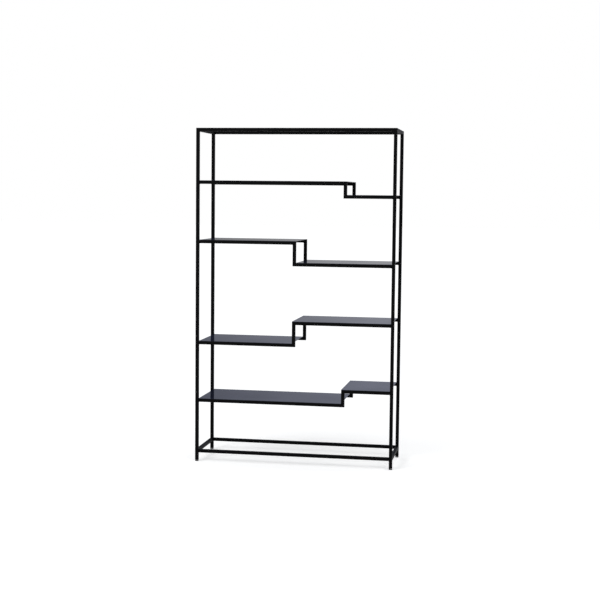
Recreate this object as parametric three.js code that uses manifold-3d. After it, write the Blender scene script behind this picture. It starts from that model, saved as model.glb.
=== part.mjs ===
import * as THREE from 'three';
import { mergeVertices } from 'three/addons/utils/BufferGeometryUtils.js';
import Module from 'manifold-3d';

// Zigzag bookshelf: a welded frame of black square tube with four stepped tiers, in millimetres, +Z up.
// The front faces -Y and the origin lies on the floor under the middle of the frame.

const wasm = await Module();
wasm.setup();

// Overall size of the frame
const width = 1220;
const depth = 405;
const height = 2042;

// Middle of the bottom rails above the floor
const bottomRailHeight = 64;

// Rises from the low shelf to the high shelf of each tier, the first tier being the top one
const firstRise = 80;
const secondRise = 130;
const thirdRise = 134;
const fourthRise = 85;

// Tops of the low shelves above the floor, as shares of the height
const firstTierShare = 0.8061;
const secondTierShare = 0.6053;
const thirdTierShare = 0.3658;
const fourthTierShare = 0.1915;

// Where the risers stand, as shares of the width from the left end
const outerStepShare = 0.75;
const middleStepShare = 0.5;

// Square tube
const tube = 20;
const tubeWall = 1.2;
const tubeCorner = 2;

// Shelf plates and the folded bearers welded under them
const plateSheet = 1.5;
const plateEndGap = 0.5;
const bearerPitch = 220;
const bearerWidth = 30;
const bearerDrop = 13;
const bearerSheet = 1.5;

// Holes for the thread-cutting M4 shelf screws
const bearerHole = 4.5;
const railHole = 3.6;

// Plates that close the tops of the posts
const topPlateSheet = 2;

// Levelling feet
const padDiameter = 22;
const padHeight = 4;
const padChamfer = 0.8;
const padSocketDepth = 2.6;
const stemDiameter = 6;
const stemRise = 25;
const stemTipChamfer = 0.7;
const collarAcrossFlats = 10;
const collarHeight = 2.4;
const insertFlange = 2;
const insertDepth = 20;

// Fits
const weldGap = 0.3;
const seatGap = 0.3;
const threadGap = 0.3;
const cutOverrun = 2;

// Facets
const cornerSegments = 2;
const screwHoleSides = 8;
const footSides = 24;
const hexSides = 6;

// Finishes
const tubeBlack = { color: 0x0b0b0c, roughness: 0.5, metalness: 0.1 };
const shelfGloss = { color: 0x14171f, roughness: 0.15, metalness: 0.1 };
const zincSteel = { color: 0xa9abad, roughness: 0.35, metalness: 0.9 };
const blackNylon = { color: 0x101011, roughness: 0.65, metalness: 0 };

// Lines of the frame
const halfTube = tube / 2;
const tubeBore = tube - 2 * tubeWall;
const boreCorner = tubeCorner * tubeBore / tube;
const postX = width / 2 - halfTube;
const postY = depth / 2 - halfTube;
const postFaceX = width / 2 - tube;
const postFaceY = depth / 2 - tube;

// Tiers from the top down: the high half lies at the left where highSide is -1, at the right where it is 1
const tiers = [
  { name: 'tier_1', lowShare: firstTierShare, rise: firstRise, highSide: -1, stepShare: outerStepShare },
  { name: 'tier_2', lowShare: secondTierShare, rise: secondRise, highSide: -1, stepShare: middleStepShare },
  { name: 'tier_3', lowShare: thirdTierShare, rise: thirdRise, highSide: 1, stepShare: middleStepShare },
  { name: 'tier_4', lowShare: fourthTierShare, rise: fourthRise, highSide: 1, stepShare: outerStepShare },
];

const sides = [{ name: 'left', sign: -1 }, { name: 'right', sign: 1 }];
const faces = [{ name: 'front', sign: -1 }, { name: 'rear', sign: 1 }];
const corners = faces.flatMap((face) => sides.map((side) => ({
  name: `${face.name}_${side.name}`,
  x: side.sign * postX,
  y: face.sign * postY,
})));

// Heights in a foot, going up: pad, collar of the stem, flange of the insert, post
const collarBottom = padHeight + seatGap;
const collarTop = collarBottom + collarHeight;
const insertBottom = collarTop + seatGap;
const postBottom = insertBottom + insertFlange + seatGap;

const bookshelf = new THREE.Group();
bookshelf.name = 'zigzag_bookshelf';

function addMesh(name, geometry, finish) {
  const mesh = new THREE.Mesh(geometry, new THREE.MeshStandardMaterial(finish));
  mesh.name = name;
  bookshelf.add(mesh);
  return mesh;
}

// Quarter turns that lay what stands along Z down along X or Y; a section's own x becomes the height
const layAlongX = new THREE.Matrix4().set(0, 0, 1, 0, 0, -1, 0, 0, 1, 0, 0, 0, 0, 0, 0, 1);
const layAlongY = new THREE.Matrix4().set(0, 1, 0, 0, 0, 0, 1, 0, 1, 0, 0, 0, 0, 0, 0, 1);

// A lathe turns its work about Y; this quarter turn stands it up along Z
const standUp = new THREE.Matrix4().set(0, 0, 1, 0, 1, 0, 0, 0, 0, 1, 0, 0, 0, 0, 0, 1);

function toSolid(geometry) {
  const bare = geometry.clone();
  bare.deleteAttribute('normal');
  bare.deleteAttribute('uv');
  const merged = mergeVertices(bare);
  return new wasm.Manifold(new wasm.Mesh({
    numProp: 3,
    vertProperties: new Float32Array(merged.attributes.position.array),
    triVerts: new Uint32Array(merged.index.array),
  }));
}

function fromSolid(solid) {
  const mesh = solid.getMesh();
  const geometry = new THREE.BufferGeometry();
  geometry.setAttribute('position', new THREE.BufferAttribute(mesh.vertProperties, mesh.numProp));
  geometry.setIndex(new THREE.BufferAttribute(mesh.triVerts, 1));
  const flat = geometry.toNonIndexed();
  flat.computeVertexNormals();
  return flat;
}

function join(...geometries) {
  return fromSolid(geometries.map(toSolid).reduce((whole, piece) => whole.add(piece)));
}

function cut(geometry, ...cutters) {
  return fromSolid(cutters.map(toSolid).reduce((rest, cutter) => rest.subtract(cutter), toSolid(geometry)));
}

function roundedSquare(size, corner) {
  const straight = size / 2 - corner;
  const shape = new THREE.Shape();
  shape.absarc(straight, straight, corner, 0, Math.PI / 2, false);
  shape.absarc(-straight, straight, corner, Math.PI / 2, Math.PI, false);
  shape.absarc(-straight, -straight, corner, Math.PI, 3 * Math.PI / 2, false);
  shape.absarc(straight, -straight, corner, 3 * Math.PI / 2, 2 * Math.PI, false);
  shape.closePath();
  return shape;
}

function extrude(section, length) {
  return new THREE.ExtrudeGeometry(section, {
    depth: length, steps: 1, bevelEnabled: false, curveSegments: cornerSegments,
  });
}

// A turned piece standing along Z, from its half profile of [radius, height] points
function turned(profile, sideCount) {
  const lathe = new THREE.LatheGeometry(profile.map(([r, z]) => new THREE.Vector2(r, z)), sideCount);
  return lathe.applyMatrix4(standUp);
}

// Square tube standing on the origin; a slope other than 0 mitres that end in the XZ plane
function squareTube(length, startSlope = 0, endSlope = 0) {
  const section = roundedSquare(tube, tubeCorner);
  section.holes.push(roundedSquare(tubeBore, boreCorner));
  const geometry = extrude(section, length);
  const position = geometry.attributes.position;
  for (let i = 0; i < position.count; i += 1) {
    const slope = position.getZ(i) < length / 2 ? startSlope : endSlope;
    position.setZ(i, position.getZ(i) + slope * position.getX(i));
  }
  geometry.computeVertexNormals();
  return geometry;
}

// Posts, each with a plate welded into its top
function addPosts() {
  const plate = extrude(roundedSquare(tubeBore - 2 * weldGap, boreCorner), topPlateSheet);
  corners.forEach(({ name, x, y }) => {
    addMesh(`post_${name}`, squareTube(height - postBottom), tubeBlack).position.set(x, y, postBottom);
    addMesh(`post_top_plate_${name}`, plate, tubeBlack).position.set(x, y, height - topPlateSheet);
  });
}

// Open frames at the top and bottom, butt-welded between the posts
function addFrames() {
  const longLength = 2 * (postFaceX - weldGap);
  const sideLength = 2 * (postFaceY - weldGap);
  const levels = [{ name: 'top', z: height - halfTube }, { name: 'bottom', z: bottomRailHeight }];
  levels.forEach((level) => {
    faces.forEach((face) => {
      const rail = squareTube(longLength).applyMatrix4(layAlongX);
      addMesh(`${level.name}_rail_${face.name}`, rail, tubeBlack)
        .position.set(-longLength / 2, face.sign * postY, level.z);
    });
    sides.forEach((side) => {
      const rail = squareTube(sideLength).applyMatrix4(layAlongY);
      addMesh(`${level.name}_side_rail_${side.name}`, rail, tubeBlack)
        .position.set(side.sign * postX, -sideLength / 2, level.z);
    });
  });
}

// The two halves of a tier: outward points from the riser to the half's own posts.
// The high plate covers the riser and ends at its far face; the low plate stops short of it.
function tierHalves(tier) {
  const stepX = (tier.stepShare - 1 / 2) * width;
  const riserFace = stepX - tier.highSide * halfTube;
  const lowTop = tier.lowShare * height;
  const half = (name, top, outward, innerEnd) => {
    const outerEnd = outward * (postFaceX - plateEndGap);
    return {
      name,
      top,
      outward,
      stepX,
      railZ: top - plateSheet - seatGap - halfTube,
      start: Math.min(innerEnd, outerEnd),
      length: Math.abs(outerEnd - innerEnd),
    };
  };
  return {
    high: half('high', lowTop + tier.rise, tier.highSide, riserFace),
    low: half('low', lowTop, -tier.highSide, riserFace - tier.highSide * plateEndGap),
  };
}

// Bearers stand evenly under a plate, about one for each pitch of its length
function bearerPlaces(half) {
  const count = Math.max(1, Math.round(half.length / bearerPitch));
  return Array.from({ length: count }, (_, i) => half.start + (i + 1 / 2) * half.length / count);
}

// The shelf screws enter the rails halfway down the bearers' ends
const screwDrop = bearerDrop / 2;

function screwHoleCutter(diameter, length) {
  return new THREE.CylinderGeometry(diameter / 2, diameter / 2, length, screwHoleSides);
}

// A rail from the posts to the mitre at the riser, drilled from behind for the shelf screws
function addStepRail(name, half, face, mitreSlope) {
  const mitreX = half.stepX + half.outward * weldGap;
  const postEndX = half.outward * (postFaceX - weldGap);
  const startX = Math.min(mitreX, postEndX);
  const slopes = half.outward > 0 ? [mitreSlope, 0] : [0, mitreSlope];
  const blank = squareTube(Math.abs(postEndX - mitreX), ...slopes).applyMatrix4(layAlongX);
  const holes = bearerPlaces(half).map((x) => (
    screwHoleCutter(railHole, tubeWall + 2 * cutOverrun)
      .translate(x - startX, -face.sign * (tube - tubeWall) / 2, halfTube + seatGap - screwDrop)
  ));
  addMesh(name, cut(blank, ...holes), tubeBlack).position.set(startX, face.sign * postY, half.railZ);
}

// Zigzag rails: high rail, riser and low rail, mitred at both corners, in front and at the rear
function addZigzags() {
  tiers.forEach((tier) => faces.forEach((face) => {
    const { high, low } = tierHalves(tier);
    const mitreSlope = -tier.highSide;
    const prefix = `${tier.name}_${face.name}`;
    addStepRail(`${prefix}_high_rail`, high, face, mitreSlope);
    addStepRail(`${prefix}_low_rail`, low, face, mitreSlope);
    const riser = squareTube(high.railZ - low.railZ, mitreSlope, mitreSlope);
    addMesh(`${prefix}_riser`, riser, tubeBlack).position.set(high.stepX, face.sign * postY, low.railZ);
  }));
}

// A bearer: sheet folded down on all four sides, its ends drilled for the screws to the rails.
// Its weld reaches halfway into the plate above it.
function bearerGeometry() {
  const length = 2 * (postFaceY - seatGap);
  const weldRoot = plateSheet / 2;
  const blank = new THREE.BoxGeometry(bearerWidth, length, bearerDrop + weldRoot);
  blank.translate(0, 0, (weldRoot - bearerDrop) / 2);
  const hollow = new THREE.BoxGeometry(bearerWidth - 2 * bearerSheet, length - 2 * bearerSheet, bearerDrop);
  hollow.translate(0, 0, -bearerSheet - bearerDrop / 2);
  const drill = screwHoleCutter(bearerHole, length + 2 * cutOverrun).translate(0, 0, -screwDrop);
  return cut(blank, hollow, drill);
}

// Shelf plates with their bearers, welded into one piece
function addShelves() {
  const bearer = bearerGeometry();
  tiers.forEach((tier) => Object.values(tierHalves(tier)).forEach((half) => {
    const middle = half.start + half.length / 2;
    const plate = new THREE.BoxGeometry(half.length, depth, plateSheet).translate(0, 0, plateSheet / 2);
    const bearers = bearerPlaces(half).map((x) => bearer.clone().translate(x - middle, 0, 0));
    addMesh(`${tier.name}_${half.name}_shelf`, join(plate, ...bearers), shelfGloss)
      .position.set(middle, 0, half.top - plateSheet);
  }));
}

// Nylon insert: a flange under the end of the tube and a plug up its bore, tapped for the stem
function insertGeometry() {
  const plugLength = insertFlange + insertDepth;
  const flange = extrude(roundedSquare(tube, tubeCorner), insertFlange);
  const plug = extrude(roundedSquare(tubeBore - 2 * seatGap, boreCorner), plugLength);
  const tap = stemDiameter / 2 + threadGap;
  const drillTop = plugLength + cutOverrun;
  const drill = turned([[0, -cutOverrun], [tap, -cutOverrun], [tap, drillTop], [0, drillTop]], footSides);
  return cut(join(flange, plug), drill);
}

// Nylon pad with a socket in which the foot of the stem turns
function padGeometry() {
  const rim = padDiameter / 2;
  const socket = stemDiameter / 2 + seatGap;
  const socketFloor = padHeight - padSocketDepth;
  return turned([
    [0, 0], [rim - padChamfer, 0], [rim, padChamfer], [rim, padHeight - padChamfer],
    [rim - padChamfer, padHeight], [socket, padHeight], [socket, socketFloor], [0, socketFloor],
  ], footSides);
}

// Steel stem with a hexagon collar, standing in the socket of the pad
function stemGeometry() {
  const radius = stemDiameter / 2;
  const foot = padHeight - padSocketDepth + seatGap;
  const tip = collarTop + stemRise;
  const rod = turned([
    [0, foot], [radius, foot], [radius, tip - stemTipChamfer], [radius - stemTipChamfer, tip], [0, tip],
  ], footSides);
  const collarRadius = collarAcrossFlats / 2 / Math.cos(Math.PI / hexSides);
  const collar = turned([
    [0, collarBottom], [collarRadius, collarBottom], [collarRadius, collarTop], [0, collarTop],
  ], hexSides);
  return join(rod, collar);
}

function addFeet() {
  const insert = insertGeometry();
  const stem = stemGeometry();
  const pad = padGeometry();
  corners.forEach(({ name, x, y }) => {
    addMesh(`foot_insert_${name}`, insert, blackNylon).position.set(x, y, insertBottom);
    addMesh(`foot_stem_${name}`, stem, zincSteel).position.set(x, y, 0);
    addMesh(`foot_pad_${name}`, pad, blackNylon).position.set(x, y, 0);
  });
}

addPosts();
addFrames();
addZigzags();
addShelves();
addFeet();

export default bookshelf;
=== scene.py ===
import math

import bmesh
import bpy
from mathutils import Matrix, Vector


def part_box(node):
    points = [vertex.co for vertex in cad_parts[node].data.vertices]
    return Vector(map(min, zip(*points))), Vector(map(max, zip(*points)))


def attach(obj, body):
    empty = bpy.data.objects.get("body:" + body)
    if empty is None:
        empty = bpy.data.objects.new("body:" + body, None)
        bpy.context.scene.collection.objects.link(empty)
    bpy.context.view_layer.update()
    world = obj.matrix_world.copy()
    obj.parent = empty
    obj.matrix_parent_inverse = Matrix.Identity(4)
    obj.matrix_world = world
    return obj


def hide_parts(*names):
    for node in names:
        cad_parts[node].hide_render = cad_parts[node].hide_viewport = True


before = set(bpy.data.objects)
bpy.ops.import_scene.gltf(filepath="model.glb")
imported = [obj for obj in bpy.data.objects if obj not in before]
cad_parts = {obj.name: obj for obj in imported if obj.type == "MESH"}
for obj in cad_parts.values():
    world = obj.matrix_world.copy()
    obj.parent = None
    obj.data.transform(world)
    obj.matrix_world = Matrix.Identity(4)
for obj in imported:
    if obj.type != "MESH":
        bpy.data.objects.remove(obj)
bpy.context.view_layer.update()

# Zigzag bookshelf: black powder-coated square tube, glossy blue-black sheet shelves, levelling feet.
# Everything is in metres, +Z up, with the front facing -Y. Angles are in radians.

mm = 0.001

# Square tube
tube = 20 * mm
tube_wall = 1.2 * mm
tube_corner = 2 * mm
corner_rounds = 4

# Plates in the tops of the posts
top_plate_edge = 0.25 * mm

# Welds: beads in the corners, and bands ground almost flush on the faces
weld_root = 0.3 * mm
bead_radius = 2.6 * mm
bead_length = tube - 1.2 * tube_corner
bead_sink = 0.6 * mm
bead_step = 1.6 * mm
bead_sides = 10
seam_length = tube - 1.5 * tube_corner
seam_lap = 0.8 * mm
seam_depth = 1 * mm
seam_rise = 0.05 * mm
seam_edge = 0.2 * mm

# A ripple of a bead, in shares of its radius and of its step: the valley, then the crest
ripple_shares = ((0.9, 0.15), (1, 0.6))

# Shelf sheet
sheet = 1.5 * mm
sheet_edge = 0.35 * mm

# Bearers folded from the same sheet
bearer_pitch = 220 * mm
bearer_width = 30 * mm
bearer_drop = 13 * mm
bearer_fold = 2.2 * mm
bearer_end_gap = 0.3 * mm

# Spot welds on the bearers: the face is narrower than the weld, and dented inside its lip
spot_weld = 5 * mm
spot_weld_pitch = 46 * mm
spot_weld_height = 0.15 * mm
spot_weld_sides = 16
weld_face_share = 0.42
weld_lip_share = 0.1
weld_dent_share = 0.8

# Pan-head shelf screws
screw_head = 8 * mm
screw_head_height = 2.6 * mm
screw_shank = 4 * mm
screw_length = 8 * mm
screw_steps = 24
recess = 3.6 * mm
recess_depth = 1.6 * mm
recess_lobes = 6
recess_valley_share = 0.76

# Foot pads
pad_diameter = 22 * mm
pad_height = 4 * mm
pad_corner = 0.6 * mm
pad_recess = 0.5 * mm
pad_socket = 6.6 * mm
pad_socket_floor = 1.4 * mm
pad_steps = 48

# Foot stems: a rod with a hexagonal collar and a thread, whose ridge starts a little inside the core
stem_diameter = 6 * mm
stem_foot = 1.7 * mm
stem_tip = 31.7 * mm
stem_steps = 24
collar_bottom = 4.3 * mm
collar_top = 6.7 * mm
collar_across_flats = 10 * mm
collar_flats = 6
collar_corner_share = 0.12
thread_pitch = 1 * mm
thread_depth = 0.6 * mm
thread_run_out = 1.2 * thread_pitch
thread_steps = 20
ridge_depth_share = 1.15
ridge_crest_share = 0.07
ridge_root_share = 0.46

# Inserts in the feet of the posts
insert_plug = 17 * mm
insert_hole = 6.6 * mm
insert_hole_sides = 24
insert_flange = 2 * mm
insert_edge = 0.4 * mm
insert_fillet = 0.2 * mm

# Steps round a small edge and round a fold
edge_rounds = 2
fold_rounds = 3

# Least cosine at which an edge or a face's normal counts as standing along Z
along_z = 0.99

# Points closer than the first gap are merged, and radii closer than the second count as the same
merge_gap = 0.001 * mm
same_radius_gap = 0.01 * mm

# Shading: an edge that turns by more than the angle is sharp, and large faces stay flat
sharp_angle = math.radians(35)
flat_face_weight = 60

tiers = ("tier_1", "tier_2", "tier_3", "tier_4")
halves = ("high", "low")
faces = ("front", "rear")
sides = ("left", "right")
corners = [f"{face}_{side}" for face in faces for side in sides]

# Turns that lay what stands along Z down along X or along Y, with its own X upwards
lay_along_x = Matrix(((0, 0, 1, 0), (0, -1, 0, 0), (1, 0, 0, 0), (0, 0, 0, 1)))
lay_along_y = Matrix(((0, 1, 0, 0), (0, 0, 1, 0), (1, 0, 0, 0), (0, 0, 0, 1)))


# Nodes of the finishes

# Places of the colour sockets on a Mix node, which has sockets of every kind under the same names
mix_amount, mix_first, mix_second, mix_result = 0, 6, 7, 2


def feed(tree, value, socket):
    """Links another node's output to a socket, or sets the socket to a plain value."""
    if isinstance(value, bpy.types.NodeSocket):
        tree.links.new(value, socket)
    else:
        socket.default_value = value


def add_node(tree, kind, **settings):
    node = tree.nodes.new(kind)
    for key, value in settings.items():
        setattr(node, key, value)
    return node


def math_node(tree, operation, *values, clamp=False):
    node = add_node(tree, "ShaderNodeMath", operation=operation, use_clamp=clamp)
    for value, socket in zip(values, node.inputs):
        feed(tree, value, socket)
    return node.outputs[0]


def noise_node(tree, place, scale, detail, roughness=0.5):
    node = add_node(tree, "ShaderNodeTexNoise")
    for label, value in (("Vector", place), ("Scale", scale), ("Detail", detail), ("Roughness", roughness)):
        feed(tree, value, node.inputs[label])
    return node.outputs["Fac"]


def spread_node(tree, value, low, high, to_low=0, to_high=1):
    """Spreads the values from low to high over those from to_low to to_high, and holds them there."""
    node = add_node(tree, "ShaderNodeMapRange", clamp=True)
    feed(tree, value, node.inputs["Value"])
    for label, limit in (("From Min", low), ("From Max", high), ("To Min", to_low), ("To Max", to_high)):
        feed(tree, limit, node.inputs[label])
    return node.outputs["Result"]


def blend_node(tree, amount, first, second):
    node = add_node(tree, "ShaderNodeMix", data_type="RGBA")
    for index, value in ((mix_amount, amount), (mix_first, first), (mix_second, second)):
        feed(tree, value, node.inputs[index])
    return node.outputs[mix_result]


# Shared effects of the finishes

# Speckled part of a patch of dust; the rest of the patch is even
speck_share = 0.6


def new_group(name, inputs, outputs):
    """A node group, with its inputs as (name, kind, value) and its outputs as (name, kind)."""
    group = bpy.data.node_groups.new(name, "ShaderNodeTree")
    for label, kind, value in inputs:
        socket = group.interface.new_socket(name=label, in_out="INPUT", socket_type=kind)
        socket.default_value = value
    for label, kind in outputs:
        group.interface.new_socket(name=label, in_out="OUTPUT", socket_type=kind)
    enter = group.nodes.new("NodeGroupInput")
    leave = group.nodes.new("NodeGroupOutput")
    return group, enter.outputs, leave.inputs


def make_tone_group():
    """Soft cloudy variation of a colour and of a roughness."""
    group, given, result = new_group(
        "cloudy_tone",
        [("Vector", "NodeSocketVector", (0, 0, 0)), ("Colour", "NodeSocketColor", (0, 0, 0, 1)),
         ("Tint", "NodeSocketColor", (0, 0, 0, 1)), ("Scale", "NodeSocketFloat", 10),
         ("Low Roughness", "NodeSocketFloat", 0.4), ("High Roughness", "NodeSocketFloat", 0.5)],
        [("Colour", "NodeSocketColor"), ("Roughness", "NodeSocketFloat")])
    clouds = noise_node(group, given["Vector"], given["Scale"], detail=4)
    mask = spread_node(group, clouds, low=0.35, high=0.65)
    colour = blend_node(group, mask, given["Colour"], given["Tint"])
    roughness = spread_node(group, clouds, low=0.3, high=0.7, to_low=given["Low Roughness"],
                            to_high=given["High Roughness"])
    group.links.new(colour, result["Colour"])
    group.links.new(roughness, result["Roughness"])
    return group


def make_dust_group():
    """Mask of fine dust that settles in patches on faces that look up."""
    group, given, result = new_group(
        "settled_dust",
        [("Vector", "NodeSocketVector", (0, 0, 0)), ("Amount", "NodeSocketFloat", 0.1)],
        [("Mask", "NodeSocketFloat")])
    geometry = add_node(group, "ShaderNodeNewGeometry")
    split = add_node(group, "ShaderNodeSeparateXYZ")
    group.links.new(geometry.outputs["Normal"], split.inputs["Vector"])
    upward = spread_node(group, split.outputs["Z"], low=0.6, high=1)
    drifts = noise_node(group, given["Vector"], scale=14, detail=6)
    patches = spread_node(group, drifts, low=0.35, high=0.75)
    grit = noise_node(group, given["Vector"], scale=1400, detail=1)
    specks = spread_node(group, grit, low=0.55, high=0.7)
    cover = math_node(group, "MULTIPLY_ADD", specks, speck_share, 1 - speck_share)
    mask = math_node(group, "MULTIPLY", math_node(group, "MULTIPLY", patches, cover), upward)
    amount = math_node(group, "MULTIPLY", mask, given["Amount"], clamp=True)
    group.links.new(amount, result["Mask"])
    return group


def make_rub_and_highlight_group():
    """Mask of rubbed corners and of a painted highlight on them, from the piece's own corner mark broken up
    by noise.
    """
    group, given, result = new_group(
        "rubbed_and_highlit_corners",
        [("Vector", "NodeSocketVector", (0, 0, 0)), ("Amount", "NodeSocketFloat", 0.5)],
        [("Mask", "NodeSocketFloat")])
    mark = add_node(group, "ShaderNodeAttribute", attribute_name="corner")
    stretches = noise_node(group, given["Vector"], scale=45, detail=6)
    broken = spread_node(group, stretches, low=0.45, high=0.7)
    scratches = noise_node(group, given["Vector"], scale=600, detail=2)
    fine = spread_node(group, scratches, low=0.3, high=0.6)
    # The corner mask marks wear and also lays a painted highlight along the edges
    rubbed_and_highlit = math_node(group, "MULTIPLY", math_node(group, "MULTIPLY", mark.outputs["Fac"], broken), fine)
    amount = math_node(group, "MULTIPLY", rubbed_and_highlit, given["Amount"], clamp=True)
    group.links.new(amount, result["Mask"])
    return group


def make_grain_group():
    """Height of a fine two-step grain, coarse swell and fine pits."""
    group, given, result = new_group(
        "surface_grain",
        [("Vector", "NodeSocketVector", (0, 0, 0)), ("Swell", "NodeSocketFloat", 300),
         ("Pits", "NodeSocketFloat", 1500), ("Pit Share", "NodeSocketFloat", 0.3)],
        [("Height", "NodeSocketFloat")])
    swell = noise_node(group, given["Vector"], given["Swell"], detail=2)
    pits = noise_node(group, given["Vector"], given["Pits"], detail=1)
    shared = math_node(group, "MULTIPLY", pits, given["Pit Share"])
    group.links.new(math_node(group, "ADD", swell, shared), result["Height"])
    return group


tone_group = make_tone_group()
dust_group = make_dust_group()
rub_and_highlight_group = make_rub_and_highlight_group()
grain_group = make_grain_group()


# Finishes

# Colours that wear and dust lay over a finish; the lighter worn corners are also a painted highlight
powder_rubbed_highlight = (0.022, 0.022, 0.0225, 1)
powder_dust = (0.28, 0.27, 0.25, 1)
lacquer_dust = (0.3, 0.3, 0.29, 1)
nylon_scuffed_highlight = (0.05, 0.05, 0.051, 1)

# What a full rub and a full cover of dust add to the roughness of the powder coat
rub_roughness = -0.12
dust_roughness = 2

# Heights of the grain
powder_peel = 0.012 * mm
lacquer_waves = 0.12 * mm
zinc_grain = 0.008 * mm
nylon_grain = 0.04 * mm


def new_finish(name):
    """A new material with its node tree, its shader and its object coordinates."""
    material = bpy.data.materials.new(name)
    material.use_nodes = True
    tree = material.node_tree
    place = add_node(tree, "ShaderNodeTexCoord").outputs["Object"]
    return material, tree, tree.nodes["Principled BSDF"], place


def add_effect(tree, place, group, **values):
    """Places a shared effect in a finish, with the finish's own values, and gives its outputs."""
    node = add_node(tree, "ShaderNodeGroup", node_tree=group)
    tree.links.new(place, node.inputs["Vector"])
    for label, value in values.items():
        node.inputs[label.replace("_", " ")].default_value = value
    return node.outputs


def shade(tree, shader, colour, roughness, grain, grain_height):
    """Feeds a shader its colour, its roughness and a bump from a grain of the given height."""
    bump = add_node(tree, "ShaderNodeBump")
    bump.inputs["Distance"].default_value = grain_height
    tree.links.new(grain["Height"], bump.inputs["Height"])
    tree.links.new(colour, shader.inputs["Base Color"])
    tree.links.new(roughness, shader.inputs["Roughness"])
    tree.links.new(bump.outputs["Normal"], shader.inputs["Normal"])


def make_powder_coat():
    """Satin black powder coat: fine orange peel, rubbed corners lighter as wear and as a painted highlight,
    and a trace of dust on top.
    """
    material, tree, shader, place = new_finish("powder_black")
    tone = add_effect(tree, place, tone_group, Colour=(0.0012, 0.0012, 0.0014, 1),
                      Tint=(0.0026, 0.0026, 0.0028, 1), Scale=22, Low_Roughness=0.5, High_Roughness=0.6)
    rub_and_highlight = add_effect(tree, place, rub_and_highlight_group, Amount=0.8)["Mask"]
    dust = add_effect(tree, place, dust_group, Amount=0.035)["Mask"]
    # Rubbed corners turn lighter: worn paint and also a painted highlight along the edges
    rubbed_and_highlit = blend_node(tree, rub_and_highlight, tone["Colour"], powder_rubbed_highlight)
    colour = blend_node(tree, dust, rubbed_and_highlit, powder_dust)
    smoother = math_node(tree, "MULTIPLY", rub_and_highlight, rub_roughness)
    rougher = math_node(tree, "MULTIPLY", dust, dust_roughness)
    clean = math_node(tree, "ADD", tone["Roughness"], smoother)
    roughness = math_node(tree, "ADD", clean, rougher, clamp=True)
    peel = add_effect(tree, place, grain_group, Swell=620, Pits=2600, Pit_Share=0.25)
    shade(tree, shader, colour, roughness, peel, powder_peel)
    shader.inputs["Specular IOR Level"].default_value = 0.035
    return material


def make_shelf_lacquer():
    """Glossy blue-black lacquer on sheet: a clear coat over a dark base, faint waves and fine dust."""
    material, tree, shader, place = new_finish("lacquer_blue_black")
    tone = add_effect(tree, place, tone_group, Colour=(0.012, 0.014, 0.028, 1),
                      Tint=(0.016, 0.018, 0.035, 1), Scale=5, Low_Roughness=0.34, High_Roughness=0.42)
    dust = add_effect(tree, place, dust_group, Amount=0.02)["Mask"]
    colour = blend_node(tree, dust, tone["Colour"], lacquer_dust)
    handled = noise_node(tree, place, scale=3.5, detail=5, roughness=0.6)
    coat = spread_node(tree, handled, low=0.35, high=0.7, to_low=0.46, to_high=0.4)
    tree.links.new(coat, shader.inputs["Coat Weight"])
    waves = add_effect(tree, place, grain_group, Swell=9, Pits=420, Pit_Share=0.0015)
    shade(tree, shader, colour, tone["Roughness"], waves, lacquer_waves)
    shader.inputs["Coat Roughness"].default_value = 0.07
    shader.inputs["Specular IOR Level"].default_value = 0
    return material


def make_zinc():
    """Bright zinc plating with a faint warm and cool bloom and a fine grain."""
    material, tree, shader, place = new_finish("zinc_plate")
    tone = add_effect(tree, place, tone_group, Colour=(0.5, 0.51, 0.53, 1),
                      Tint=(0.6, 0.59, 0.53, 1), Scale=160, Low_Roughness=0.26, High_Roughness=0.4)
    grain = add_effect(tree, place, grain_group, Swell=2400, Pits=6000, Pit_Share=0.4)
    shade(tree, shader, tone["Colour"], tone["Roughness"], grain, zinc_grain)
    shader.inputs["Metallic"].default_value = 1
    return material


def make_nylon():
    """Moulded black nylon with a fine spark grain and scuffed corners, lighter as wear and as a painted
    highlight.
    """
    material, tree, shader, place = new_finish("nylon_black")
    tone = add_effect(tree, place, tone_group, Colour=(0.011, 0.011, 0.0115, 1),
                      Tint=(0.016, 0.016, 0.0165, 1), Scale=90, Low_Roughness=0.55, High_Roughness=0.7)
    rub_and_highlight = add_effect(tree, place, rub_and_highlight_group, Amount=0.7)["Mask"]
    # Scuffed corners turn lighter: wear and also a painted highlight along the edges
    colour = blend_node(tree, rub_and_highlight, tone["Colour"], nylon_scuffed_highlight)
    grain = add_effect(tree, place, grain_group, Swell=2200, Pits=5200, Pit_Share=0.5)
    shade(tree, shader, colour, tone["Roughness"], grain, nylon_grain)
    shader.inputs["Specular IOR Level"].default_value = 0.3
    return material


# The record's material slots and their finishes
finishes = {
    "tube_black": make_powder_coat(),
    "shelf_gloss": make_shelf_lacquer(),
    "zinc_steel": make_zinc(),
    "black_nylon": make_nylon(),
}


# Making and placing pieces

def node_box(node):
    """Lowest corner, highest corner and middle of a CAD node."""
    low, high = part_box(node)
    return low, high, (low + high) / 2


def mark_corners(shape, near, far):
    """Marks each vertex from 0 at the near radius to 1 at the far one, where corners get rubbed and a painted
    highlight is laid.
    """
    layer = shape.verts.layers.float.new("corner")
    for vert in shape.verts:
        reach = math.hypot(vert.co.x, vert.co.y)
        vert[layer] = min(1, max(0, (reach - near) / (far - near)))


def finish_piece(name, shape, slot, body, node=None):
    """Turns a bmesh into a shaded piece that rides on its body and may stand for a CAD node."""
    mesh = bpy.data.meshes.new(name)
    shape.to_mesh(mesh)
    shape.free()
    mesh.materials.append(finishes[slot])
    mesh.shade_smooth()
    mesh.set_sharp_from_angle(angle=sharp_angle)
    piece = bpy.data.objects.new(name, mesh)
    bpy.context.scene.collection.objects.link(piece)
    flatten = piece.modifiers.new("flat_faces", "WEIGHTED_NORMAL")
    flatten.keep_sharp = True
    flatten.weight = flat_face_weight
    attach(piece, body)
    if node:
        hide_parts(node)


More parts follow.
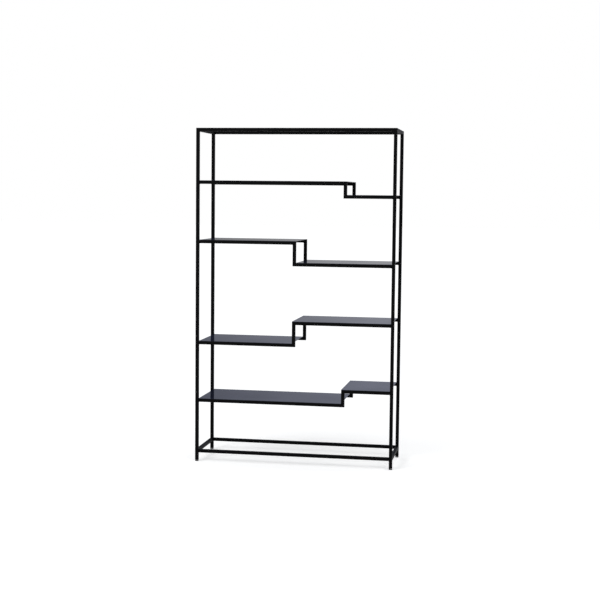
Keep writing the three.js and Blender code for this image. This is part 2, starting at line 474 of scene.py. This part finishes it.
def add_copy(shape, part, matrix):
    """Adds a copy of one bmesh to another, moved by a matrix."""
    mesh = bpy.data.meshes.new("copy")
    part.to_mesh(mesh)
    mesh.transform(matrix)
    shape.from_mesh(mesh)
    bpy.data.meshes.remove(mesh)


def box_mesh(size):
    shape = bmesh.new()
    bmesh.ops.create_cube(shape, size=1)
    bmesh.ops.scale(shape, vec=size, verts=shape.verts)
    return shape


def round_edges(shape, edges, radius, segments=edge_rounds):
    bmesh.ops.bevel(shape, geom=edges, offset=radius, segments=segments, affect="EDGES",
                    profile=0.5, material=-1)


def upright_edges(shape):
    return [edge for edge in shape.edges
            if abs((edge.verts[0].co - edge.verts[1].co).normalized().z) > along_z]


def under_faces(shape):
    return [face for face in shape.faces if face.normal.z < -along_z]


def turned(profile, steps):
    """A piece turned about Z from its half profile of (radius, height), which starts and ends on the axis."""
    shape = bmesh.new()
    verts = [shape.verts.new((radius, 0, height)) for radius, height in profile]
    edges = [shape.edges.new(pair) for pair in zip(verts, verts[1:])]
    bmesh.ops.spin(shape, geom=verts + edges, cent=(0, 0, 0), axis=(0, 0, 1), angle=2 * math.pi,
                   steps=steps, use_merge=True)
    bmesh.ops.remove_doubles(shape, verts=shape.verts, dist=merge_gap)
    bmesh.ops.recalc_face_normals(shape, faces=shape.faces)
    return shape


# Square tube

def tube_mesh(length, start_slope=0, end_slope=0):
    """Square tube standing on the origin, its corners rounded and its ends open; a slope mitres an end."""
    shape = box_mesh((tube, tube, length))
    bmesh.ops.translate(shape, vec=(0, 0, length / 2), verts=shape.verts)
    ends = [face for face in shape.faces if abs(face.normal.z) > along_z]
    bmesh.ops.delete(shape, geom=ends, context="FACES")
    round_edges(shape, upright_edges(shape), tube_corner, corner_rounds)
    bmesh.ops.solidify(shape, geom=shape.faces[:], thickness=tube_wall)
    straight = tube / 2 - tube_corner
    mark_corners(shape, math.hypot(tube / 2, straight), straight * math.sqrt(2) + tube_corner)
    for slope, ring in ((start_slope, [vert for vert in shape.verts if vert.co.z < length / 2]),
                        (end_slope, [vert for vert in shape.verts if vert.co.z > length / 2])):
        shear = Matrix.Identity(4)
        shear[2][0] = slope
        bmesh.ops.transform(shape, matrix=shear, verts=ring)
    return shape


def add_tube(node, shape, turn, origin):
    bmesh.ops.transform(shape, matrix=Matrix.Translation(origin) @ turn, verts=shape.verts)
    bmesh.ops.recalc_face_normals(shape, faces=shape.faces)
    finish_piece(f"{node}_tube", shape, "tube_black", "frame", node)


def add_posts():
    for corner in corners:
        node = f"post_{corner}"
        low, high, middle = node_box(node)
        add_tube(node, tube_mesh(high.z - low.z), Matrix.Identity(4), (middle.x, middle.y, low.z))


def add_top_plates():
    """Plates that close the tops of the posts, each with a fine groove along its softened edge."""
    bore = tube - 2 * tube_wall
    for corner in corners:
        node = f"post_top_plate_{corner}"
        low, high, middle = node_box(node)
        shape = box_mesh((bore, bore, high.z - low.z))
        round_edges(shape, upright_edges(shape), tube_corner * bore / tube, corner_rounds)
        rims = [edge for edge in shape.edges if all(vert.co.z > 0 for vert in edge.verts)]
        round_edges(shape, rims, top_plate_edge)
        bmesh.ops.translate(shape, vec=middle, verts=shape.verts)
        finish_piece(f"{node}_ground", shape, "tube_black", "frame", node)


def bead_mesh():
    """Weld bead along Y through the origin: a soft ridge with one ripple for each step of the wire."""
    count = round(bead_length / bead_step)
    step = bead_length / count
    profile = [(0, -bead_length / 2)]
    for i in range(count):
        start = i * step - bead_length / 2
        profile += [(bead_radius * out, start + step * along) for out, along in ripple_shares]
    profile.append((0, bead_length / 2))
    shape = turned(profile, bead_sides)
    bmesh.ops.rotate(shape, cent=(0, 0, 0), matrix=Matrix.Rotation(math.pi / 2, 3, "X"), verts=shape.verts)
    return shape


def band_pair(width, length):
    """Bands ground almost flush on the front and the back of a tube, upright and centred on its line."""
    shape = bmesh.new()
    band = box_mesh((width, seam_depth, length))
    round_edges(band, band.edges[:], seam_edge)
    for sign in (-1, 1):
        add_copy(shape, band, Matrix.Translation((0, sign * ((tube - seam_depth) / 2 + seam_rise), 0)))
    band.free()
    return shape


def butt_weld(bead_above):
    """Weld of a rail that runs off along X from the face of a post, which holds the origin."""
    shape = bmesh.new()
    bands = band_pair(tube_corner + 2 * seam_lap, seam_length)
    add_copy(shape, bands, Matrix.Translation((-tube_corner / 2, 0, 0)))
    ridge = bead_mesh()
    for up in (-1, 1) if bead_above else (-1,):
        add_copy(shape, ridge, Matrix.Translation((-bead_sink, 0, up * (tube / 2 - bead_sink))))
    bands.free()
    ridge.free()
    return shape


def mitre_weld(bead_inside):
    """Weld of a mitre at the origin, from which one tube runs off along X and the other one down."""
    shape = bmesh.new()
    bands = band_pair(2 * seam_lap + seam_depth, seam_length * math.sqrt(2))
    add_copy(shape, bands, Matrix.Rotation(-math.pi / 4, 4, "Y"))
    bands.free()
    if bead_inside:
        ridge = bead_mesh()
        inside = tube / 2 - bead_sink
        add_copy(shape, ridge, Matrix.Translation((inside, 0, -inside)))
        ridge.free()
    return shape


def add_open_frame(level):
    """Front, rear and side rails between the posts, with the welds at their eight ends."""
    rails = [(f"{level}_rail_{face}", 0, lay_along_x, (0, math.pi)) for face in faces]
    rails += [(f"{level}_side_rail_{side}", 1, lay_along_y, (math.pi / 2, -math.pi / 2)) for side in sides]
    welds = bmesh.new()
    weld = butt_weld(bead_above=level == "bottom")
    for node, axis, lay, turns in rails:
        low, high, middle = node_box(node)
        ends = (low[axis] - weld_root, high[axis] + weld_root)
        places = [middle.copy() for end in ends]
        for place, end, turn in zip(places, ends, turns):
            place[axis] = end
            add_copy(welds, weld, Matrix.Translation(place) @ Matrix.Rotation(turn, 4, "Z"))
        add_tube(node, tube_mesh(ends[1] - ends[0]), lay, places[0])
    weld.free()
    finish_piece(f"{level}_frame_welds", welds, "tube_black", "frame")


def add_zigzag(tier, face):
    """High rail, riser and low rail of one face of a tier, mitred so that they meet at both corners."""
    prefix = f"{tier}_{face}"
    riser_middle = node_box(f"{prefix}_riser")[2]
    step, y = riser_middle.x, riser_middle.y
    boxes = {half: node_box(f"{prefix}_{half}_rail") for half in halves}
    heights = {half: middle.z for half, (low, high, middle) in boxes.items()}
    mitre = -1 if boxes["high"][1].x - tube > step else 1
    welds = bmesh.new()
    weld = butt_weld(bead_above=False)
    for half, (low, high, middle) in boxes.items():
        node = f"{prefix}_{half}_rail"
        if high.x - tube > step:
            end = high.x + weld_root
            add_tube(node, tube_mesh(end - step, start_slope=mitre), lay_along_x, (step, y, middle.z))
            add_copy(welds, weld, Matrix.Translation((end, y, middle.z)) @ Matrix.Rotation(math.pi, 4, "Z"))
        else:
            start = low.x - weld_root
            add_tube(node, tube_mesh(step - start, end_slope=mitre), lay_along_x, (start, y, middle.z))
            add_copy(welds, weld, Matrix.Translation((start, y, middle.z)))
    riser = tube_mesh(heights["high"] - heights["low"], mitre, mitre)
    add_tube(f"{prefix}_riser", riser, Matrix.Identity(4), (step, y, heights["low"]))
    side = Matrix.Rotation(0 if mitre < 0 else math.pi, 4, "Z")
    upper, lower = mitre_weld(bead_inside=True), mitre_weld(bead_inside=False)
    add_copy(welds, upper, Matrix.Translation((step, y, heights["high"])) @ side)
    add_copy(welds, lower, Matrix.Translation((step, y, heights["low"])) @ side)
    for part in (weld, upper, lower):
        part.free()
    finish_piece(f"{prefix}_welds", welds, "tube_black", "frame")


add_posts()
add_top_plates()
add_open_frame("top")
add_open_frame("bottom")
for tier in tiers:
    for face in faces:
        add_zigzag(tier, face)


# Shelves

def bearer_places(start, length):
    """Bearers stand evenly under a shelf, about one for each pitch of its length."""
    count = max(1, round(length / bearer_pitch))
    return [start + (i + 0.5) * length / count for i in range(count)]


def spot_weld_mesh():
    """Round dimple that an electrode leaves, with its raised rim looking down."""
    shape = bmesh.new()
    bmesh.ops.create_cone(shape, cap_ends=True, segments=spot_weld_sides, radius1=spot_weld * weld_face_share,
                          radius2=spot_weld / 2, depth=2 * spot_weld_height)
    bmesh.ops.inset_region(shape, faces=under_faces(shape), thickness=spot_weld * weld_lip_share,
                           depth=-spot_weld_height * weld_dent_share)
    return shape


def bearer_mesh(length):
    """Bearer under the origin: sheet folded down on all four sides, with rounded folds and spot welds."""
    shape = box_mesh((bearer_width, length, bearer_drop))
    bmesh.ops.translate(shape, vec=(0, 0, -bearer_drop / 2), verts=shape.verts)
    bmesh.ops.delete(shape, geom=under_faces(shape), context="FACES")
    folds = [edge for edge in shape.edges if len(edge.link_faces) == 2]
    round_edges(shape, folds, bearer_fold, fold_rounds)
    bmesh.ops.solidify(shape, geom=shape.faces[:], thickness=sheet)
    mark = spot_weld_mesh()
    count = round(length / spot_weld_pitch)
    for i in range(count):
        y = ((i + 0.5) / count - 0.5) * length
        add_copy(shape, mark, Matrix.Translation((0, y, -sheet)))
    mark.free()
    return shape


def screw_mesh():
    """Pan-head screw whose head sits on the origin looking up, with a six-lobed recess."""
    top = screw_head_height
    shape = turned([
        (0, top - recess_depth), (recess / 2, top - recess_depth), (recess / 2, top * 0.99),
        (recess / 2 * 1.2, top), (screw_head * 0.36, top * 0.92), (screw_head * 0.46, top * 0.62),
        (screw_head / 2, top * 0.2), (screw_head / 2, 0), (screw_shank / 2, 0),
        (screw_shank / 2, -screw_length * 0.85), (screw_shank * 0.3, -screw_length), (0, -screw_length)],
        screw_steps)
    step = 2 * math.pi / screw_steps
    spacing = screw_steps // recess_lobes
    valleys = [vert for vert in shape.verts
               if vert.co.z > 0 and abs(math.hypot(vert.co.x, vert.co.y) - recess / 2) < same_radius_gap
               and round(math.atan2(vert.co.y, vert.co.x) / step) % spacing == spacing // 2]
    bmesh.ops.scale(shape, vec=(recess_valley_share, recess_valley_share, 1), verts=valleys)
    return shape


def add_shelf(tier, half):
    """Sheet with softened edges, carried by folded bearers that are screwed to the rails."""
    node = f"{tier}_{half}_shelf"
    low, high, middle = node_box(node)
    shape = box_mesh((high.x - low.x, high.y - low.y, sheet))
    bmesh.ops.translate(shape, vec=(middle.x, middle.y, high.z - sheet / 2), verts=shape.verts)
    round_edges(shape, shape.edges[:], sheet_edge)
    rear_rail_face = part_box(f"{tier}_rear_{half}_rail")[0].y
    bearer_length = 2 * (rear_rail_face - bearer_end_gap)
    bearer = bearer_mesh(bearer_length)
    screw = screw_mesh()
    screws = bmesh.new()
    for x in bearer_places(low.x, high.x - low.x):
        add_copy(shape, bearer, Matrix.Translation((x, middle.y, high.z - sheet)))
        for sign in (-1, 1):
            y = sign * (bearer_length / 2 - sheet)
            turn = Matrix.Rotation(sign * math.pi / 2, 4, "X")
            place = Matrix.Translation((x, y, high.z - sheet - bearer_drop / 2))
            add_copy(screws, screw, place @ turn)
    bearer.free()
    screw.free()
    finish_piece(f"{node}_sheet", shape, "shelf_gloss", "frame", node)
    finish_piece(f"{node}_screws", screws, "zinc_steel", "frame")


for tier in tiers:
    for half in halves:
        add_shelf(tier, half)


# Levelling feet

def pad_mesh():
    """Moulded pad: a ring that stands on the floor, a rounded rim and a collar round the stem's socket."""
    rim, top, socket = pad_diameter / 2, pad_height, pad_socket / 2
    shape = turned([
        (0, pad_recess), (rim * 0.6, pad_recess), (rim * 0.66, 0), (rim - pad_corner, 0),
        (rim - pad_corner * 0.3, pad_corner * 0.3), (rim, pad_corner), (rim, top - 2 * pad_corner),
        (rim - pad_corner * 0.3, top - 1.1 * pad_corner), (rim - pad_corner, top - 0.5 * pad_corner),
        (socket * 1.6, top - 0.4 * pad_corner), (socket * 1.45, top), (socket * 1.1, top),
        (socket, top - 0.4 * pad_corner), (socket, pad_socket_floor), (0, pad_socket_floor)], pad_steps)
    mark_corners(shape, rim - pad_corner, rim)
    return shape


def thread_mesh(low, high):
    """Screw thread: one ridge wound round the core at the thread's pitch."""
    shape = bmesh.new()
    crest = stem_diameter / 2
    root = crest - ridge_depth_share * thread_depth
    section = ((root, -ridge_root_share), (crest, -ridge_crest_share), (crest, ridge_crest_share),
               (root, ridge_root_share))
    face = shape.faces.new([shape.verts.new((x, 0, low + z * thread_pitch)) for x, z in section])
    turns = math.floor((high - low) / thread_pitch)
    bmesh.ops.spin(shape, geom=[face], cent=(0, 0, 0), axis=(0, 0, 1), angle=2 * math.pi * turns,
                   dvec=(0, 0, thread_pitch / thread_steps), steps=thread_steps * turns, use_merge=False)
    bmesh.ops.recalc_face_normals(shape, faces=shape.faces)
    return shape


def collar_mesh():
    """Hexagon for the spanner, its points blunted."""
    shape = bmesh.new()
    point = collar_across_flats / math.sqrt(3)
    bmesh.ops.create_cone(shape, cap_ends=True, segments=collar_flats, radius1=point, radius2=point,
                          depth=collar_top - collar_bottom)
    bmesh.ops.bevel(shape, geom=shape.verts[:], offset=point * collar_corner_share, segments=1,
                    affect="VERTICES", profile=0.5, material=-1)
    return shape


def stem_mesh():
    """Threaded stem with a round foot and a hexagonal collar."""
    radius = stem_diameter / 2
    root = radius - thread_depth
    waist = (collar_bottom + collar_top) / 2
    shape = turned([
        (0, stem_foot), (radius * 0.85, stem_foot), (radius, stem_foot + radius * 0.15), (radius, waist),
        (root, waist), (root, stem_tip - radius * 0.2), (root * 0.8, stem_tip), (0, stem_tip)], stem_steps)
    thread = thread_mesh(collar_top + thread_run_out, stem_tip - thread_run_out)
    collar = collar_mesh()
    add_copy(shape, thread, Matrix.Identity(4))
    add_copy(shape, collar, Matrix.Translation((0, 0, waist)))
    thread.free()
    collar.free()
    return shape


def square_ring(shape, size, z):
    """Edges of a rounded square round the Z axis."""
    square = bmesh.ops.create_grid(shape, x_segments=1, y_segments=1, size=size / 2,
                                   matrix=Matrix.Translation((0, 0, z)))["verts"]
    bmesh.ops.bevel(shape, geom=square, offset=tube_corner * size / tube, segments=corner_rounds,
                    affect="VERTICES", profile=0.5, material=-1)
    face = shape.faces[:][0]
    ring = face.edges[:]
    shape.faces.remove(face)
    return ring


def round_ring(shape, radius, z):
    """Edges of a circle round the Z axis."""
    circle = bmesh.ops.create_circle(shape, segments=insert_hole_sides, radius=radius,
                                     matrix=Matrix.Translation((0, 0, z)))["verts"]
    return list({edge for vert in circle for edge in vert.link_edges})


def insert_mesh(low, high):
    """Moulded insert that closes the foot of a post: a flange as wide as the tube, a plug and a long hole."""
    shape = bmesh.new()
    shoulder = low + insert_flange
    rings = [square_ring(shape, size, z) for size, z in (
        (tube - 2 * insert_edge, low), (tube, low + insert_edge), (tube, shoulder),
        (insert_plug, shoulder + insert_fillet), (insert_plug, high - 2 * insert_edge),
        (insert_plug - 2 * insert_edge, high))]
    hole = [round_ring(shape, insert_hole / 2, z) for z in (low, high)]
    for ring, following in [*zip(rings, rings[1:]), hole]:
        bmesh.ops.bridge_loops(shape, edges=ring + following)
    for ring, mouth in zip((rings[0], rings[-1]), hole):
        bmesh.ops.triangle_fill(shape, edges=ring + mouth, use_beauty=True)
    bmesh.ops.recalc_face_normals(shape, faces=shape.faces)
    mark_corners(shape, tube / 2, tube / math.sqrt(2))
    return shape


def add_feet():
    pad, stem = pad_mesh(), stem_mesh()
    for corner in corners:
        low, high, middle = node_box(f"foot_insert_{corner}")
        insert = insert_mesh(low.z, high.z)
        place = Matrix.Translation((middle.x, middle.y, 0))
        for node, part, slot, body in (
                (f"foot_pad_{corner}", pad, "black_nylon", f"pad_{corner}"),
                (f"foot_stem_{corner}", stem, "zinc_steel", f"stem_{corner}"),
                (f"foot_insert_{corner}", insert, "black_nylon", "frame")):
            shape = bmesh.new()
            add_copy(shape, part, place)
            finish_piece(f"{node}_shape", shape, slot, body, node)
        insert.free()
    pad.free()
    stem.free()


add_feet()


# Camera where the photograph was taken

camera_place = (1.3875, -7.8180, 1.6396)
camera_yaw = 0.1753
camera_pitch = -0.0809
camera_roll = 0.0101
camera_lens = 77.29
camera_sensor = 36


def add_camera():
    forward = Vector((-math.sin(camera_yaw) * math.cos(camera_pitch),
                      math.cos(camera_yaw) * math.cos(camera_pitch), math.sin(camera_pitch)))
    level_right = Vector((math.cos(camera_yaw), math.sin(camera_yaw), 0))
    level_up = level_right.cross(forward)
    right = math.cos(camera_roll) * level_right + math.sin(camera_roll) * level_up
    up = math.cos(camera_roll) * level_up - math.sin(camera_roll) * level_right
    camera = bpy.data.objects.new("camera", bpy.data.cameras.new("camera"))
    camera.data.sensor_width = camera_sensor
    camera.data.lens = camera_lens
    turn = Matrix((right, up, -forward)).transposed().to_4x4()
    camera.matrix_world = Matrix.Translation(camera_place) @ turn
    bpy.context.scene.collection.objects.link(camera)
    bpy.context.scene.camera = camera


# Floor

floor_reach = 60
floor_grey = (0.8, 0.8, 0.8, 1)
floor_pale = (0.84, 0.84, 0.84, 1)
white = (1, 1, 1, 1)


def add_floor():
    """Pale floor, white to the camera where no shadow falls, also far off where the lamps don't reach."""
    shape = bmesh.new()
    bmesh.ops.create_grid(shape, x_segments=1, y_segments=1, size=floor_reach)
    mesh = bpy.data.meshes.new("floor")
    shape.to_mesh(mesh)
    shape.free()
    floor = bpy.data.objects.new("floor", mesh)
    bpy.context.scene.collection.objects.link(floor)
    material, tree, shader, place = new_finish("pale_floor")
    tone = blend_node(tree, noise_node(tree, place, scale=0.6, detail=4), floor_grey, floor_pale)
    tree.links.new(tone, shader.inputs["Base Color"])
    shader.inputs["Roughness"].default_value = 0.9
    shader.inputs["Specular IOR Level"].default_value = 0
    ray = add_node(tree, "ShaderNodeLightPath").outputs
    seen = math_node(tree, "MAXIMUM", ray["Is Camera Ray"], ray["Is Glossy Ray"])
    distance = add_node(tree, "ShaderNodeVectorMath", operation="LENGTH")
    tree.links.new(place, distance.inputs[0])
    lift = spread_node(tree, distance.outputs["Value"], low=1.5, high=9, to_low=0.4, to_high=0.5)
    shader.inputs["Emission Color"].default_value = white
    tree.links.new(math_node(tree, "MULTIPLY", seen, lift), shader.inputs["Emission Strength"])
    mesh.materials.append(material)


# Surroundings and lamps

surround_tone = (0.97, 0.985, 1, 1)
surround_strength = 0.72
cool_reflection = (0.78, 0.82, 1, 1)
lamp_aim = (0, 0, 1)


def add_world():
    """Even pale surroundings, white to the camera; gloss shows them cooler above and dimmer to the left."""
    world = bpy.data.worlds.new("studio")
    bpy.context.scene.world = world
    world.use_nodes = True
    tree = world.node_tree
    light = tree.nodes["Background"]
    light.inputs["Color"].default_value = surround_tone
    light.inputs["Strength"].default_value = surround_strength
    ray = add_node(tree, "ShaderNodeLightPath").outputs
    direction = add_node(tree, "ShaderNodeSeparateXYZ")
    tree.links.new(add_node(tree, "ShaderNodeTexCoord").outputs["Generated"], direction.inputs["Vector"])
    dimmer = spread_node(tree, direction.outputs["X"], low=-0.235, high=-0.12, to_low=0.58, to_high=0.92)
    above = spread_node(tree, direction.outputs["Z"], low=0.03, high=0.13)
    cooler = math_node(tree, "SUBTRACT", above, ray["Is Camera Ray"], clamp=True)
    seen = add_node(tree, "ShaderNodeBackground")
    tree.links.new(math_node(tree, "MAXIMUM", dimmer, ray["Is Camera Ray"]), seen.inputs["Strength"])
    tree.links.new(blend_node(tree, cooler, white, cool_reflection), seen.inputs["Color"])
    reflected = math_node(tree, "MAXIMUM", ray["Is Glossy Ray"], ray["Is Transmission Ray"])
    mix = add_node(tree, "ShaderNodeMixShader")
    tree.links.new(math_node(tree, "MAXIMUM", ray["Is Camera Ray"], reflected), mix.inputs[0])
    tree.links.new(light.outputs[0], mix.inputs[1])
    tree.links.new(seen.outputs[0], mix.inputs[2])
    tree.links.new(mix.outputs[0], tree.nodes["World Output"].inputs["Surface"])


def add_lamp(name, place, size, power):
    """Square soft lamp that looks at the middle of the bookshelf."""
    lamp = bpy.data.objects.new(name, bpy.data.lights.new(name, "AREA"))
    lamp.data.shape = "SQUARE"
    lamp.data.size = size
    lamp.data.energy = power
    lamp.location = place
    lamp.rotation_mode = "QUATERNION"
    lamp.rotation_quaternion = (Vector(lamp_aim) - Vector(place)).to_track_quat("-Z", "Y")
    bpy.context.scene.collection.objects.link(lamp)


add_camera()
add_floor()
add_world()
add_lamp("key", place=(-3.2, -4.8, 4.4), size=2.6, power=150)
add_lamp("fill", place=(4.2, -3.6, 3), size=3, power=60)
bpy.context.scene.view_settings.view_transform = "Standard"
